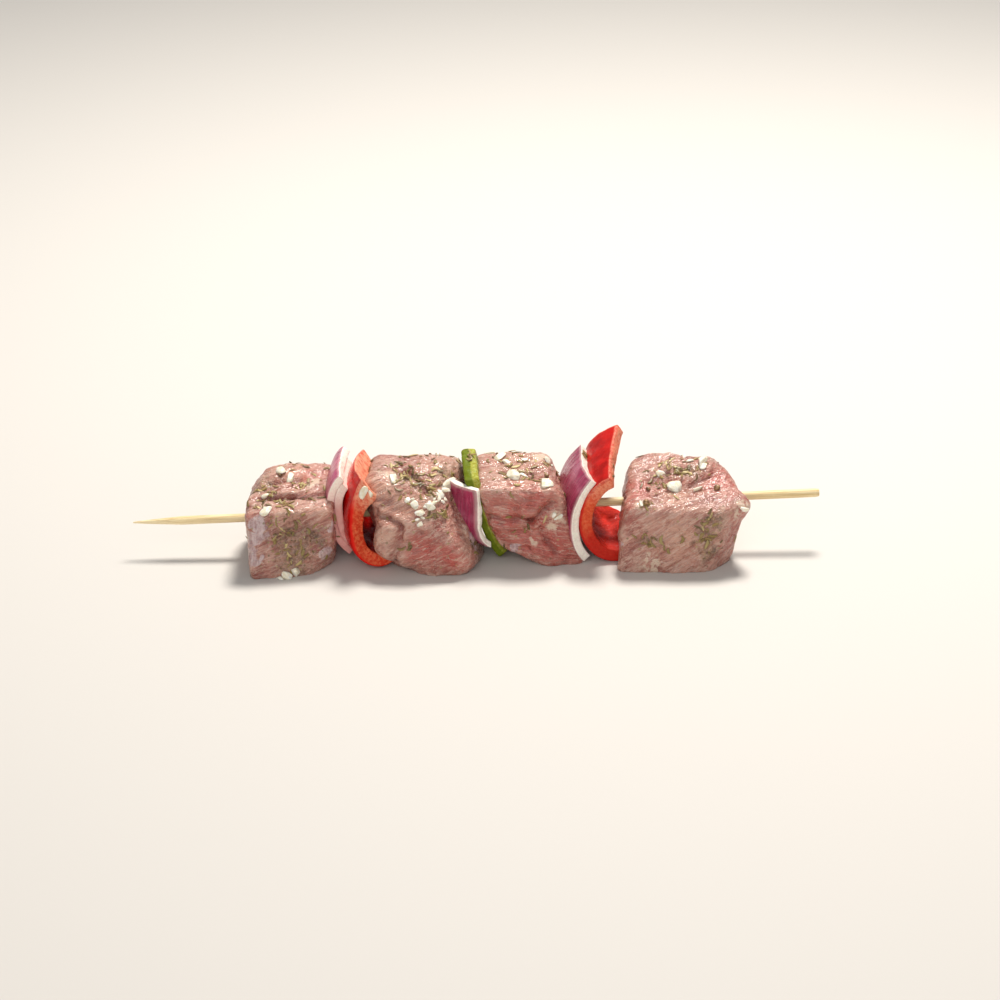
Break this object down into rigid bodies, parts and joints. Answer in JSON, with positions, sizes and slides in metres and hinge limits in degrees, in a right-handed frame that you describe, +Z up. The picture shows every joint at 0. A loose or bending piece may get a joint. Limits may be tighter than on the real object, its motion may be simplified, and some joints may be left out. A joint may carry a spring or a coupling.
{
  "type": "raw beef kebab on a skewer",
  "caption": "Raw marinated beef kebab: blocks of herbed beef with red onion, red pepper and green pepper threaded on a pointed bamboo skewer.",
  "frame": {"origin": "centre of the bounding box in X and Y, at the height of the surface that the meat lies on", "axes": "+X along the skewer from its point to its blunt end, +Y away from the side seen in the picture, +Z up"},
  "size_m": [0.2539, 0.0407, 0.0435],
  "materials": {
    "beef": "moist raw meat with garlic and dried herbs",
    "onion": "smooth purple skin, white cut edges",
    "red_pepper": "glossy red skin, orange-red cut flesh",
    "green_pepper": "green skin, yellow-green cut flesh",
    "bamboo": "plain dry bamboo"
  },
  "bodies": {
    "root": {"skewer": "bamboo", "beef_1": "beef", "beef_2": "beef", "beef_3": "beef", "beef_4": "beef", "onion_1": "onion", "onion_1_inner": "onion", "onion_2": "onion", "onion_3": "onion", "red_pepper_1": "red_pepper", "red_pepper_2": "red_pepper", "green_pepper": "green_pepper"}
  },
  "joints": []
}
